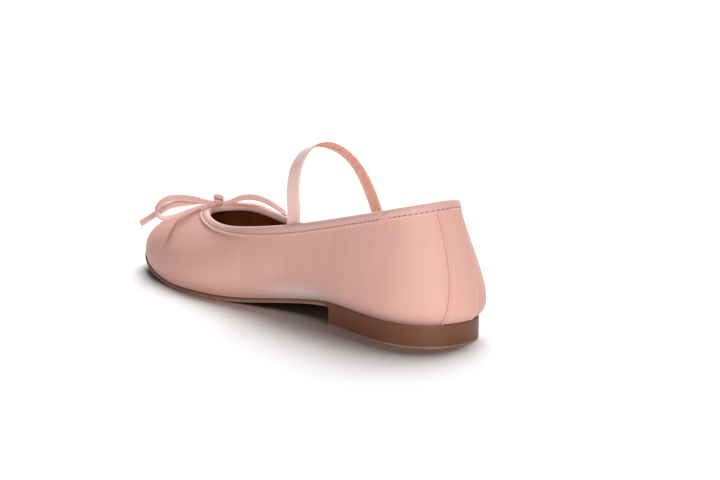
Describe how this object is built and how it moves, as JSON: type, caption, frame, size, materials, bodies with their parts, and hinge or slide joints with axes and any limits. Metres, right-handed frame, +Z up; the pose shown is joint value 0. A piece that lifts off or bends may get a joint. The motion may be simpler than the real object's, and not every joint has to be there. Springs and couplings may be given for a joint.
{
  "type": "ballet flat",
  "caption": "Right ballet flat in blush satin: hollow low-cut upper with bound collar, back strip, elastic instep band and narrow ribbon bow, on a thin brown sole with a low block heel.",
  "frame": {"origin": "on the floor under the middle of the shoe's box", "axes": "+X towards the toe, +Y towards the wearer's left, the shoe's inner side, +Z up"},
  "size_m": [0.2526, 0.0796, 0.0898],
  "materials": {
    "upper_satin": "blush satin with a soft sheen",
    "trim_satin": "paler blush satin, folded and stitched",
    "strap_elastic": "woven elastic with fine ribs",
    "sole_leather": "dark brown, smooth painted edge",
    "sock_leather": "brown lining leather, matt"
  },
  "bodies": {
    "root": {"outsole": "sole_leather", "heel": "sole_leather", "insole": "sock_leather", "upper": "upper_satin", "backstay": "upper_satin", "topline_binding": "trim_satin", "elastic_strap": "strap_elastic", "bow_knot": "trim_satin", "bow_loop_medial": "trim_satin", "bow_loop_lateral": "trim_satin", "bow_tail_medial": "trim_satin", "bow_tail_lateral": "trim_satin"}
  },
  "joints": []
}
